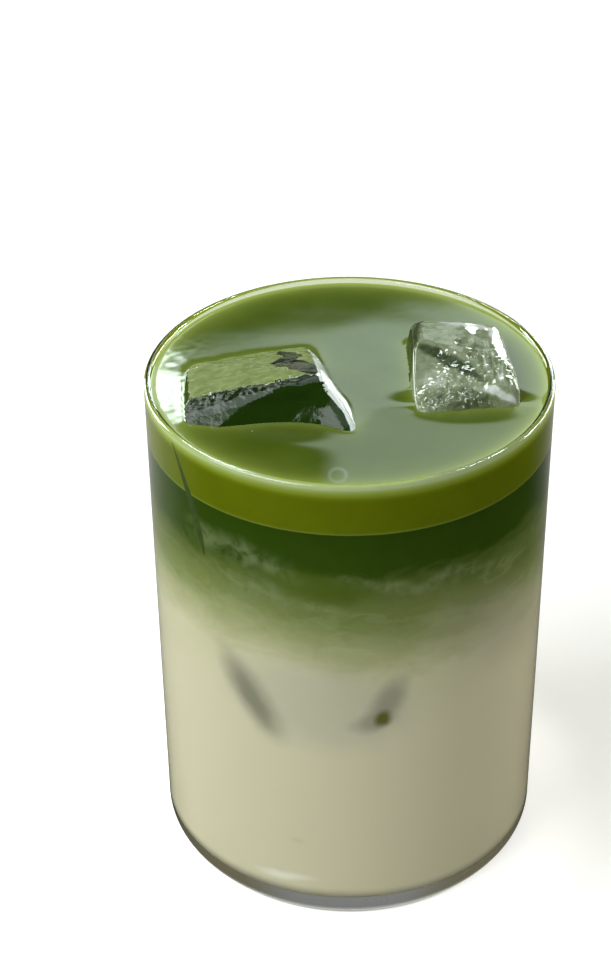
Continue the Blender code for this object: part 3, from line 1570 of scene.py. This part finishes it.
@dataclass
class Drink:
    """The three layers that fill the tumbler, with pockets round the ice."""

    tumbler: Tumbler
    lumps: list[IceLump]
    level: float = 107.2 * MM
    pale_bottom: float = 97.0 * MM
    milk_top: float = 62.0 * MM
    reach: float = 0.15 * MM
    climb: float = 0.06 * MM
    climb_width: float = 0.25 * MM
    ice_climb: float = 0.05 * MM
    ice_climb_width: float = 0.6 * MM
    swells: tuple[Swell, ...] = (Swell((-12.0, -17.0), 11.0, 5.2, 0.40),
                                 Swell((22.5, -10.5), 12.0, 4.6, 0.42))
    crinkles: float = 0.004 * MM
    crinkle_size: float = 1.3 * MM
    crinkled_across: Span = (-27.0, -33.0)
    waves: float = 0.006 * MM
    wave_size: float = 9.0 * MM
    # painted light: how strong the painted glow is, and how far it reaches from the glass and from
    # the ice
    wall_shores: tuple[tuple[float, float], ...] = ((0.72, 1.4 * MM), (0.28, 3.4 * MM))
    ice_shore: tuple[float, float] = (0.30, 1.8 * MM)
    steepest_surface: float = 0.3
    pocket_inset: float = 0.15 * MM
    segments: int = 360
    ring_step: float = 0.5 * MM
    brim_rings: int = 16
    wall_rings: int = 24

    def wall(self, height: float) -> float:
        """Returns the drink's radius at a height: it reaches just into the glass."""
        return self.tumbler.radius(height, inside=True) + self.reach

    def _side(self, top: float, bottom: float, rings: int) -> list:
        """Returns the wall's points, as radius and height, from one height down to another."""
        return [(self.wall(height), height) for height in np.linspace(top, bottom, rings)]

    def build(self, effects: Effects) -> None:
        """Builds the three layers.

        Args:
            effects: The shared node groups.
        """
        latte = self._latte_finish().make(effects)
        pockets = (
            PocketFinish("Tea behind the left ice", (0.010, 0.034, 0.002), (0.03, 0.065, 0.005),
                         (94.0, 104.0)),
            # painted light: the tea round the right ice is made pale, for light that comes in
            # through the ice
            PocketFinish("Tea behind the right ice", (0.15, 0.20, 0.07), (0.26, 0.32, 0.15),
                         (92.0, 104.0)),
        )
        cutters = [lump.shrunk(self.pocket_inset) for lump in self.lumps]
        for cutter, pocket in zip(cutters, pockets):
            cutter.data.materials.clear()
            cutter.data.materials.append(pocket.make(effects))
        self._pale_layer(effects, cutters)
        self._matcha(latte, cutters)
        self._milk(latte)
        for cutter in cutters:
            bpy.data.objects.remove(cutter)

    def _pale_layer(self, effects: Effects, cutters: list[Piece]) -> None:
        """Builds the pale layer under the brim.

        Args:
            effects: The shared node groups.
            cutters: What cuts the pockets of the ice.
        """
        edge = self.wall(self.level)
        rings = int(edge / self.ring_step)
        profile = [(edge * (ring / rings), self.level) for ring in range(rings)]
        profile += self._side(self.level, self.pale_bottom, self.brim_rings)
        profile += [(edge * 0.6, self.pale_bottom), (0.0, self.pale_bottom)]
        piece = mesh_object("pale_matcha_layer", *turned(profile, self.segments))
        self._shape_surface(piece, edge)
        surface = SurfaceFinish("Tea surface", (0.048, 0.080, 0.002), (0.33, 0.42, 0.08),
                                (0.23, 0.28, 0.20), 0.035)
        # painted light: the glow just under the lip, lightest at the top
        brim = ((0.00, (0.40, 0.47, 0.26)), (0.16, (0.28, 0.345, 0.10)),
                (0.38, (0.19, 0.24, 0.028)), (0.66, (0.125, 0.16, 0.006)))
        wall = PaleWallFinish("Pale tea on glass", (0.093, 0.119, 0.0022), brim,
                              (0.115, 0.15, 0.022), self.level / MM, self.pale_bottom / MM)
        for finish in (surface, wall):
            piece.data.materials.append(finish.make(effects))
        for face in piece.data.polygons:
            lies_open = face.normal.z >= self.steepest_surface
            face.material_index = Region.PLAIN if lies_open else Region.COATED
        self._cut(piece, cutters)
        dressed(piece, Slot.PALE, "matcha_pale")

    def _shape_surface(self, piece: Piece, edge: float) -> None:
        """Shapes the open surface, which climbs the glass and the ice, and marks where its painted
        glow lies, near the glass and the ice.

        Args:
            piece: The pale layer.
            edge: The surface's radius.
        """
        places = coordinates(piece)
        open_face = places[:, 2] > self.level - SAME_PLACE
        near_wall = edge - np.hypot(places[:, 0], places[:, 1])
        near_ice = np.full(len(places), np.inf)
        for lump in self.lumps:
            distance = distances(lump.outline(self.level), places[open_face])
            near_ice[open_face] = np.minimum(near_ice[open_face], distance)
        rise = self.climb * np.exp(-near_wall / self.climb_width)
        rise += self.ice_climb * np.exp(-near_ice / self.ice_climb_width)
        for swell in self.swells:
            rise += swell.rise(places)
        rise += self.waves * noise_at(places, self.wave_size, 3.0)
        crinkled = smoothstep(*self.crinkled_across, places[:, 0] / MM)
        rise += self.crinkles * crinkled * noise_at(places, self.crinkle_size, 8.0)
        places[open_face, 2] += rise[open_face]
        move_vertices(piece, places)
        # painted light: the glow near the glass and the ice, stored on the vertices
        shore = sum(share * np.exp(-near_wall / width) for share, width in self.wall_shores)
        share, width = self.ice_shore
        shore += share * np.exp(-near_ice / width)
        mark(piece, shore=shore)

    def _matcha(self, latte: bpy.types.Material, cutters: list[Piece]) -> None:
        """Builds the dark tea, down to where the milk is clear of it.

        Args:
            latte: The wall's finish.
            cutters: What cuts the pockets of the ice.
        """
        profile = [(0.0, self.pale_bottom), (self.wall(self.pale_bottom) * 0.5, self.pale_bottom)]
        profile += self._side(self.pale_bottom, self.milk_top, self.wall_rings)
        profile += [(self.wall(self.milk_top) * 0.5, self.milk_top), (0.0, self.milk_top)]
        piece = mesh_object("matcha_cloud", *turned(profile, self.segments))
        piece.data.materials.append(latte)
        self._cut(piece, cutters)
        dressed(piece, Slot.MATCHA, "matcha")

    def _milk(self, latte: bpy.types.Material) -> None:
        """Builds the milk, which fills the rounded floor of the glass.

        Args:
            latte: The wall's finish.
        """
        centre, curve = self.tumbler.floor_corner(self.reach)
        profile = [(0.0, self.milk_top), (self.wall(self.milk_top) * 0.5, self.milk_top)]
        profile += self._side(self.milk_top, centre[1], self.wall_rings)
        profile += arc(centre, curve, 0, -90, 12)[1:]
        profile.append((0.0, centre[1] - curve))
        piece = mesh_object("milk_pool", *turned(profile, self.segments))
        piece.data.materials.append(latte)
        dressed(piece, Slot.MILK, "milk")

    def _cut(self, piece: Piece, cutters: list[Piece]) -> None:
        """Cuts the pockets of the ice, with faces that keep the pockets' own finish.

        Args:
            piece: The layer.
            cutters: What cuts the pockets.
        """
        for cutter in cutters:
            boolean = piece.modifiers.new("Pocket", "BOOLEAN")
            boolean.operation = "DIFFERENCE"
            boolean.solver = "EXACT"
            boolean.object = cutter
            boolean.material_mode = "TRANSFER"
        apply_modifiers(piece)

    def _latte_finish(self) -> LatteFinish:
        """Describes the clouded boundary, with the sunk ice that shows in the milk, a patch of
        painted shade on the right and a painted highlight near the foot.

        Returns:
            The finish.
        """
        stops = (
            (0.00, (0.512, 0.474, 0.332)),
            (0.26, (0.475, 0.447, 0.295)),
            (0.36, (0.35, 0.355, 0.195)),
            (0.46, (0.24, 0.26, 0.115)),
            (0.56, (0.145, 0.175, 0.055)),
            (0.66, (0.105, 0.133, 0.035)),
            (0.73, (0.070, 0.098, 0.020)),
            (0.80, (0.026, 0.052, 0.0034)),
            (1.00, (0.020, 0.043, 0.0024)),
        )
        lifts = ((-180.0, 2.0), (-72.0, 1.5), (-52.0, 3.6), (-33.0, 4.4), (-18.0, 2.0), (0.0, 0.0),
                 (11.0, 0.6), (22.0, 1.8), (34.0, 1.0), (49.0, 2.0), (62.0, 0.0), (180.0, 2.0))
        grey = (0.385, 0.375, 0.290)
        shades = (
            # painted shadow: the milk darker on the right, under the tea and the ice
            Shade(52.0, 66.0, 14.0, 7.5, -24.0, 0.8, (0.33, 0.305, 0.215), 0.55),
            Shade(-9.0, 56.0, 17.0, 9.5, -8.0, 0.45, grey, 0.60),
            Shade(-8.0, 84.4, 8.5, 3.0, -8.0, 0.7, (0.060, 0.090, 0.009), 0.85),
            Shade(-29.6, 55.6, 8.8, 3.2, -56.0, 0.75, (0.215, 0.208, 0.150), 0.90),
            Shade(-28.6, 54.4, 6.0, 1.5, -56.0, 0.70, (0.175, 0.170, 0.110), 0.55),
            Shade(11.0, 57.0, 5.8, 2.6, 62.0, 0.75, (0.22, 0.212, 0.160), 0.80),
            Shade(7.0, 52.2, 3.6, 1.8, 10.0, 0.80, (0.24, 0.230, 0.175), 0.70),
            # painted highlight: a pale streak low on the left, near the foot
            Shade(-20.0, 10.3, 5.0, 0.9, 3.0, 0.85, (0.72, 0.71, 0.62), 0.60),
            Shade(-15.0, 20.4, 1.5, 0.8, 0.0, 0.80, (0.40, 0.39, 0.22), 0.45),
            Shade(9.9, 53.0, 1.9, 1.5, 70.0, 0.60, (0.090, 0.088, 0.014), 0.95),
        )
        pale = (0.165, 0.200, 0.092)
        curls = (
            Shade(-45.0, 88.8, 3.6, 2.4, -20.0, 0.9, (0.130, 0.165, 0.062), 0.65),
            Shade(-30.5, 89.0, 8.0, 2.2, -7.0, 0.9, (0.150, 0.185, 0.080), 0.62),
            Shade(-18.0, 87.0, 5.0, 1.2, -14.0, 0.9, pale, 0.55),
            Shade(-25.0, 81.2, 6.0, 2.8, 0.0, 0.9, (0.170, 0.205, 0.100), 0.60),
            Shade(1.0, 86.2, 3.4, 0.9, -10.0, 0.9, (0.130, 0.160, 0.070), 0.60),
            Shade(13.5, 84.2, 5.6, 1.0, -8.0, 0.9, pale, 0.65),
            Shade(25.5, 84.6, 4.4, 1.1, 12.0, 0.9, pale, 0.60),
            Shade(28.5, 81.0, 3.8, 1.5, 70.0, 0.9, (0.145, 0.180, 0.080), 0.55),
            Shade(-9.0, 79.8, 4.2, 1.1, -3.0, 0.9, (0.23, 0.27, 0.14), 0.45),
        )
        return LatteFinish("Tea into milk", stops, lifts, shades, curls)


@dataclass
class IceEdge:
    """The dark edge of the left lump where it presses against the glass, under the brim."""

    drink: Drink
    top: Place = (-57.2, 106.0)
    bottom: Place = (-44.6, 84.8)
    bow: float = 1.6
    half_width: float = 0.85 * MM
    depth: float = 0.10 * MM
    rim_depth: float = 0.02 * MM
    least_width: float = 0.15
    lean: float = 1.3
    taper: float = 0.7
    steps: int = 40

    def build(self) -> Piece:
        """Builds the edge as a thin leaf that lies on the drink's wall.

        Returns:
            The piece.
        """
        section = ((-1, self.rim_depth), (0, self.depth), (1, self.rim_depth), (0, -self.depth))
        vertices: list = []
        for step in range(self.steps + 1):
            share = step / self.steps
            height = (self.top[1] + (self.bottom[1] - self.top[1]) * share) * MM
            bend = self.bow * math.sin(math.pi * share)
            angle = math.radians(self.top[0] + (self.bottom[0] - self.top[0]) * share + bend)
            fullness = math.sin(math.pi * share ** self.lean) ** self.taper
            width = self.half_width * (self.least_width + fullness)
            radius = self.drink.wall(height)
            for side, out in section:
                turn = angle + side * width / radius
                reach = radius + out
                vertices.append((reach * math.sin(turn), -reach * math.cos(turn), height))
        sides = len(section)
        last = sides * self.steps
        faces = [tuple(range(sides)), tuple(range(last + sides - 1, last - 1, -1))]
        for row in range(self.steps):
            low, high = sides * row, sides * (row + 1)
            for side in range(sides):
                after = (side + 1) % sides
                faces.append((low + side, high + side, high + after, low + after))
        piece = mesh_object("ice_edge_at_glass", vertices, faces)
        piece.data.materials.append(EdgeFinish().make())
        return dressed(piece, Slot.ICE)


@dataclass(frozen=True)
class Panel:
    """A soft lamp, placed by where it stands as seen from the drink's surface."""

    name: str
    azimuth: float
    elevation: float
    distance: float
    width: float
    height: float
    radiance: float
    colour: Colour

    def build(self, target: Vector) -> Piece:
        """Builds the lamp.

        Args:
            target: The point that it faces.

        Returns:
            The lamp.
        """
        data = bpy.data.lights.new(self.name, "AREA")
        data.shape = "RECTANGLE"
        data.size = self.width
        data.size_y = self.height
        data.energy = self.radiance * math.pi * self.width * self.height
        data.color = self.colour
        lamp = new_object(self.name, data)
        turn, rise = math.radians(self.azimuth), math.radians(self.elevation)
        away = Vector((math.sin(turn) * math.cos(rise), math.cos(turn) * math.cos(rise),
                       math.sin(rise)))
        lamp.location = target + away * self.distance
        lamp.rotation_mode = "QUATERNION"
        lamp.rotation_quaternion = away.to_track_quat("Z", "Y")
        return lamp


@dataclass(frozen=True)
class Reflection:
    """A bright part of the surroundings that wet faces mirror, in degrees seen from the drink."""

    left: float
    right: float
    low: float
    high: float
    radiance: float
    soft: float
    lean: float = 0.0
    tilt: float = 0.0
    fade: float = 0.0
    tilt_reach: float = 8.0

    def add_to(self, sheet: Sheet, azimuth: Socket, elevation: Socket) -> Socket:
        """Draws it.

        Args:
            sheet: The world's nodes.
            azimuth: The direction's azimuth, from +Y towards +X.
            elevation: The direction's elevation.

        Returns:
            Its radiance in each direction.
        """
        above = sheet.less(elevation, self.low)
        across = sheet.product_plus(above, -self.lean, azimuth)
        near = sheet.math("MINIMUM", sheet.math("MAXIMUM", azimuth, -self.tilt_reach),
                          self.tilt_reach)
        risen = sheet.product_plus(near, self.tilt, elevation)
        fade = self.fade or self.soft
        share = sheet.product(sheet.window(across, self.left, self.right, self.soft),
                              sheet.ease(risen, self.low - self.soft, self.low + self.soft))
        share = sheet.product(share, sheet.ease(elevation, self.high + fade, self.high - fade))
        return sheet.product(share, self.radiance)


@dataclass
class Studio:
    """The pale floor, the soft lights, the white surroundings and the camera."""

    lens: float = 88.1
    distance: float = 466.8 * MM
    pitch: float = 33.33
    yaw: float = -1.07
    roll: float = 0.14
    aim_height: float = 84.3 * MM
    floor_size: float = 12.0
    dome: Colour = (0.34, 0.34, 0.325)
    slope: Colour = (0.45, 0.47, 0.62)
    through: Colour = (0.64, 0.68, 0.50)
    mirrored: Colour = (0.83, 1.0, 0.93)
    mirrored_least: float = 0.04
    bounces: int = 16
    transmission_bounces: int = 14
    target: Vector = field(default_factory=lambda: Vector((0.0, 0.0, 107.0 * MM)))
    reflections: tuple[Reflection, ...] = (
        Reflection(-10.0, 10.0, 29.55, 31.9, 3.7, 0.38, tilt=0.15),
        Reflection(-0.1, 10.0, 31.9, 36.6, 3.0, 0.38, lean=-0.3, fade=1.2),
        Reflection(-90.0, 90.0, 38.0, 64.0, 0.3, 3.0),
        Reflection(-181.0, 181.0, 64.0, 91.0, 1.5, 4.0),
        Reflection(-6.6, -4.72, 30.5, 31.8, 17.5, 0.14, -0.42),
        Reflection(13.0, 27.0, 8.0, 28.0, 22.0, 0.4),
        Reflection(-62.0, -50.0, 18.0, 32.0, 30.0, 0.5),
        Reflection(62.0, 74.0, 12.0, 28.0, 30.0, 0.5),
        Reflection(-30.0, -18.0, 44.0, 56.0, 40.0, 0.5),
        Reflection(30.0, 44.0, 48.0, 60.0, 40.0, 0.5),
    )

    def build(self) -> None:
        """Builds the studio."""
        self._camera()
        self._floor()
        self._world()
        for panel in self._panels():
            panel.build(self.target)
        scene = bpy.context.scene
        scene.view_settings.view_transform = "Standard"
        scene.cycles.max_bounces = self.bounces
        scene.cycles.transmission_bounces = self.transmission_bounces
        scene.cycles.transparent_max_bounces = self.bounces
        scene.cycles.caustics_reflective = False
        scene.cycles.blur_glossy = 0.2

    def _panels(self) -> tuple[Panel, ...]:
        """Lists the soft lamps.

        Returns:
            The lamps.
        """
        return (
            Panel("Key", -120.0, 46.0, 1.3, 1.0, 0.8, 6.7, (0.97, 1.0, 1.0)),
            Panel("Rim", 50.0, 4.0, 1.3, 0.7, 0.6, 13.0, (1.0, 0.97, 0.93)),
            Panel("Edge", -50.0, 4.0, 1.3, 0.7, 0.6, 13.0, (0.94, 0.99, 1.0)),
        )

    def _camera(self) -> None:
        """Builds the camera and makes it the scene's own."""
        pitch, yaw, roll = (math.radians(a) for a in (self.pitch, self.yaw, self.roll))
        ahead = Vector((0.0, math.cos(pitch), -math.sin(pitch)))
        right = Vector((1.0, 0.0, 0.0))
        up = right.cross(ahead)
        ahead, right = (ahead * math.cos(yaw) + right * math.sin(yaw),
                        right * math.cos(yaw) - ahead * math.sin(yaw))
        right, up = (right * math.cos(roll) + up * math.sin(roll),
                     up * math.cos(roll) - right * math.sin(roll))
        data = bpy.data.cameras.new("Camera")
        data.lens = self.lens
        data.clip_start = 0.01
        camera = new_object("Camera", data)
        matrix = Matrix((right, up, -ahead)).transposed().to_4x4()
        matrix.translation = Vector((0.0, -self.distance * math.cos(pitch),
                                     self.aim_height + self.distance * math.sin(pitch)))
        camera.matrix_world = matrix
        bpy.context.scene.camera = camera

    def _floor(self) -> None:
        """Builds the floor, which is only a stage."""
        half = self.floor_size / 2
        corners = [(-half, -half, 0.0), (half, -half, 0.0), (half, half, 0.0), (-half, half, 0.0)]
        floor = mesh_object("Floor", corners, [(0, 1, 2, 3)])
        floor.data.materials.append(FloorFinish().make())

    def _world(self) -> None:
        """Builds white surroundings, cooler and brighter on the left, with windows in mirrors."""
        world = bpy.data.worlds.new("Surroundings")
        bpy.context.scene.world = world
        world.use_nodes = True
        sheet = Sheet(world.node_tree)
        back = world.node_tree.nodes["Background"]
        x, y, z = sheet.split(sheet.add("ShaderNodeTexCoord").outputs["Generated"])
        azimuth = sheet.math("DEGREES", sheet.math("ARCTAN2", x, y))
        elevation = sheet.math("DEGREES", sheet.math("ARCSINE", z))
        bright = self.mirrored_least
        for reflection in self.reflections:
            bright = sheet.math("ADD", bright, reflection.add_to(sheet, azimuth, elevation))
        channels = [sheet.product_plus(x, -base * slope, base)
                    for base, slope in zip(self.dome, self.slope)]
        soft = sheet.add("ShaderNodeCombineColor", Red=channels[0], Green=channels[1],
                         Blue=channels[2]).outputs[0]
        colour = sheet.mix(sheet.ray(Ray.CAMERA), soft, WHITE)
        colour = sheet.mix(sheet.ray(Ray.TRANSMITTED), colour, self.through)
        colour = sheet.mix(sheet.mirrored(), colour, BLACK)
        sheen = sheet.mix(sheet.mirrored(), BLACK, self.mirrored)
        sheen = sheet.vector("SCALE", sheen, bright)
        sheet.put(back, Color=sheet.vector("ADD", colour, sheen))


def build_left_ice(effects: Effects) -> IceLump:
    """Builds the left lump.

    Args:
        effects: The shared node groups.

    Returns:
        The lump.
    """
    clear = ClearFinish("Clear ice", (0.030, 0.080, 0.006), ICE_IOR, 0.05, 3.0, 0.9, 0.25, 0.6)
    skin = SkinFinish("Wet skin", film=(0.150, 0.205, 0.060), film_light=(0.235, 0.290, 0.115),
                      # the glint colour is painted glints
                      dark=(0.010, 0.017, 0.006), glint=(0.10, 0.12, 0.08),
                      # the grey rim is a painted reflection of the sky
                      rim=(0.056, 0.074, 0.052), face=(0.012, 0.032, 0.002),
                      # the white of the painted highlight
                      flank=(0.120, 0.155, 0.095), frost=(0.78, 0.87, 0.86))
    crinkled = [Bump((-29.2 + 2.4 * step, -13.6 + 0.27 * step, 109.8 + 0.65 * step), 1.7,
                     grain=0.36, grain_size=1.4) for step in range(10)]
    lump = SplitLump("ice_left", 11.0, bumps=tuple(crinkled))
    lump.build([clear.make(effects), skin.make(effects)])
    return lump


def build_right_ice(effects: Effects) -> IceLump:
    """Builds the right lump.

    Args:
        effects: The shared node groups.

    Returns:
        The lump.
    """
    toned = TonedIceFinish("Toned ice", (
        (0.0, (0.020, 0.034, 0.008)), (0.22, (0.075, 0.100, 0.045)), (0.5, (0.22, 0.27, 0.14)),
        # the whitest stop is the colour of painted highlights
        (0.75, (0.40, 0.47, 0.31)), (1.0, (0.88, 0.93, 0.88))), 0.35)
    lump = TonedLump("ice_right", 23.0, swelling=0.35 * MM, dents=0.30 * MM, facets=(
        Facet((13.9, 4.5, 111.6), (-0.115, -0.235, 0.965)),
        Facet((23.0, 10.0, 112.1), (0.17, 0.08, 0.98)),
        Facet((30.6, 0.0, 110.6), (0.45, 0.05, 0.89)),
        Facet((12.0, 10.0, 110.8), (-0.75, 0.1, 0.65)),
    ), bumps=(
        Bump((20.5, -9.5, 108.8), 6.5, grain=0.60, grain_size=1.5),
        Bump((28.0, -3.0, 110.0), 6.0, grain=0.26, grain_size=1.6),
        Bump((19.0, 0.0, 111.4), 3.0, grain=0.22, grain_size=1.5),
        Bump((22.2, 5.4, 112.0), 1.2, -0.7),
        Bump((23.8, 1.0, 111.2), 1.1, -0.6),
    ), zones=(
        Zone((11.6, 6.0), 8.5, 1.7, 82.0, 0.10),
        Zone((12.6, 13.6), 2.2, 1.4, 20.0, 0.05),
        Zone((19.5, 9.0), 4.6, 4.2, 0.0, 0.60, 0.2),
        Zone((19.9, -0.8), 8.4, 1.35, -42.0, 0.14),
        Zone((16.6, -4.8), 2.4, 2.8, 0.0, 0.80),
        # painted highlights: the white band along the back and the right edge
        Zone((23.2, 12.6), 6.8, 1.3, -8.0, 1.0),
        Zone((28.8, 8.5), 4.8, 1.2, 98.0, 1.0),
        Zone((20.8, -10.6), 6.5, 2.4, -4.0, 0.36),
        # painted highlight: the white streak low on the right
        Zone((28.8, -9.6), 4.6, 0.75, -14.0, 1.0),
    ))
    lump.build([toned.make(effects)])
    return lump


def main() -> None:
    """Builds the studio, the ice, the drink and the glass, in that order."""
    logging.basicConfig(level=logging.INFO, format="%(message)s")
    Studio().build()
    effects = Effects()
    tumbler = Tumbler()
    drink = Drink(tumbler, [build_left_ice(effects), build_right_ice(effects)])
    drink.build(effects)
    IceEdge(drink).build()
    tumbler.build(effects)


if __name__ == "__main__":
    main()
